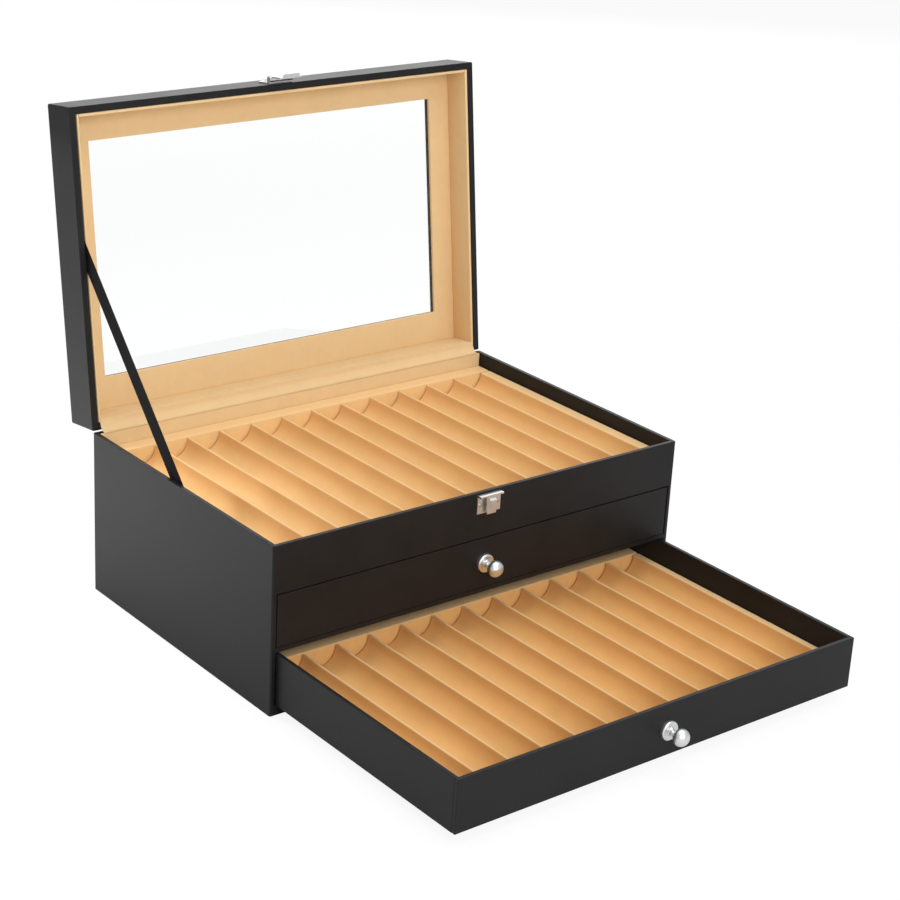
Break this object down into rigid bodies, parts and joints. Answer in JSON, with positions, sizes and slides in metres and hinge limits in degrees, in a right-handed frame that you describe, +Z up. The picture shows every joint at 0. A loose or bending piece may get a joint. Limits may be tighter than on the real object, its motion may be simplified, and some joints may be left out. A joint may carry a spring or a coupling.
{
  "type": "pen collector chest",
  "caption": "Low black chest with a glazed hinged lid, a latch, and sliding drawers, each level lined with velvet grooves that hold pens side by side.",
  "frame": {"origin": "middle of the underside of the case", "axes": "+X to the right along the front, +Y from the front to the back, +Z up"},
  "size_m": [0.34, 0.4778, 0.3477],
  "materials": {
    "leatherette": "satin, fine smooth grain",
    "covered_board": "fibre board wrapped in black leatherette",
    "black_board": "fibre board, black",
    "velvet_tray": "short-pile velvet on moulded card",
    "velvet_lining": "short-pile velvet on card",
    "velvet_cloth": "short-pile velvet cloth",
    "ribbon": "woven, satin",
    "glass": "clear",
    "card": "plain",
    "felt": "felt",
    "nickel": "polished nickel plate",
    "steel": "plain"
  },
  "bodies": {
    "case": {"case_side_left": "black_board", "case_side_right": "black_board", "case_back": "black_board", "case_front_apron": "black_board", "case_bottom": "black_board", "drawer_shelf": "black_board", "top_compartment_floor": "black_board", "case_cover": "leatherette", "base_felt": "felt", "top_tray_riser": "card", "top_tray_base": "velvet_tray", "top_tray_ridges": "velvet_tray", "top_tray_rails": "velvet_tray", "back_lining": "velvet_lining", "hinge_cloth": "velvet_cloth", "lid_stay_ribbon": "ribbon", "hinge_case_leaves": "nickel", "hinge_case_screws": "steel", "hinge_pins": "steel", "latch_keeper": "nickel", "latch_keeper_screws": "steel"},
    "lid": {"lid_side_left": "black_board", "lid_side_right": "black_board", "lid_back": "black_board", "lid_front": "black_board", "lid_top_frame": "black_board", "lid_cover": "leatherette", "lid_glass": "glass", "lid_glass_spacer": "card", "lid_window_lining": "velvet_lining", "lid_wall_linings": "velvet_lining", "hinge_lid_leaves": "nickel", "hinge_lid_screws": "steel", "hasp_base": "nickel", "hasp_base_screws": "steel", "hasp_pin": "steel"},
    "hasp": {"hasp_flap": "nickel"},
    "upper_drawer": {"upper_drawer_front": "covered_board", "upper_drawer_side_left": "covered_board", "upper_drawer_side_right": "covered_board", "upper_drawer_back": "covered_board", "upper_drawer_bottom": "black_board", "upper_drawer_tray_base": "velvet_tray", "upper_drawer_tray_ridges": "velvet_tray", "upper_drawer_tray_rails": "velvet_tray", "upper_drawer_knob_plate": "nickel", "upper_drawer_knob": "nickel", "upper_drawer_knob_screw": "steel"},
    "lower_drawer": {"lower_drawer_front": "covered_board", "lower_drawer_side_left": "covered_board", "lower_drawer_side_right": "covered_board", "lower_drawer_back": "covered_board", "lower_drawer_bottom": "black_board", "lower_drawer_tray_base": "velvet_tray", "lower_drawer_tray_ridges": "velvet_tray", "lower_drawer_tray_rails": "velvet_tray", "lower_drawer_knob_plate": "nickel", "lower_drawer_knob": "nickel", "lower_drawer_knob_screw": "steel"}
  },
  "joints": [
    {"name": "lid_hinge", "type": "hinge", "parent": "case", "child": "lid", "pos_m": [0, 0.1107, 0.1194], "axis": [1, 0, 0], "range_deg": [0, 97.1], "deforming": ["lid_stay_ribbon", "hinge_cloth"]},
    {"name": "hasp_hinge", "type": "hinge", "parent": "lid", "child": "hasp", "pos_m": [0, 0.14283, 0.34173], "axis": [-1, 0, 0], "range_deg": [0, 110]},
    {"name": "upper_drawer_slide", "type": "slide", "parent": "case", "child": "upper_drawer", "axis": [0, -1, 0], "range_m": [0, 0.183]},
    {"name": "lower_drawer_slide", "type": "slide", "parent": "case", "child": "lower_drawer", "axis": [0, -1, 0], "range_m": [-0.183, 0]}
  ]
}
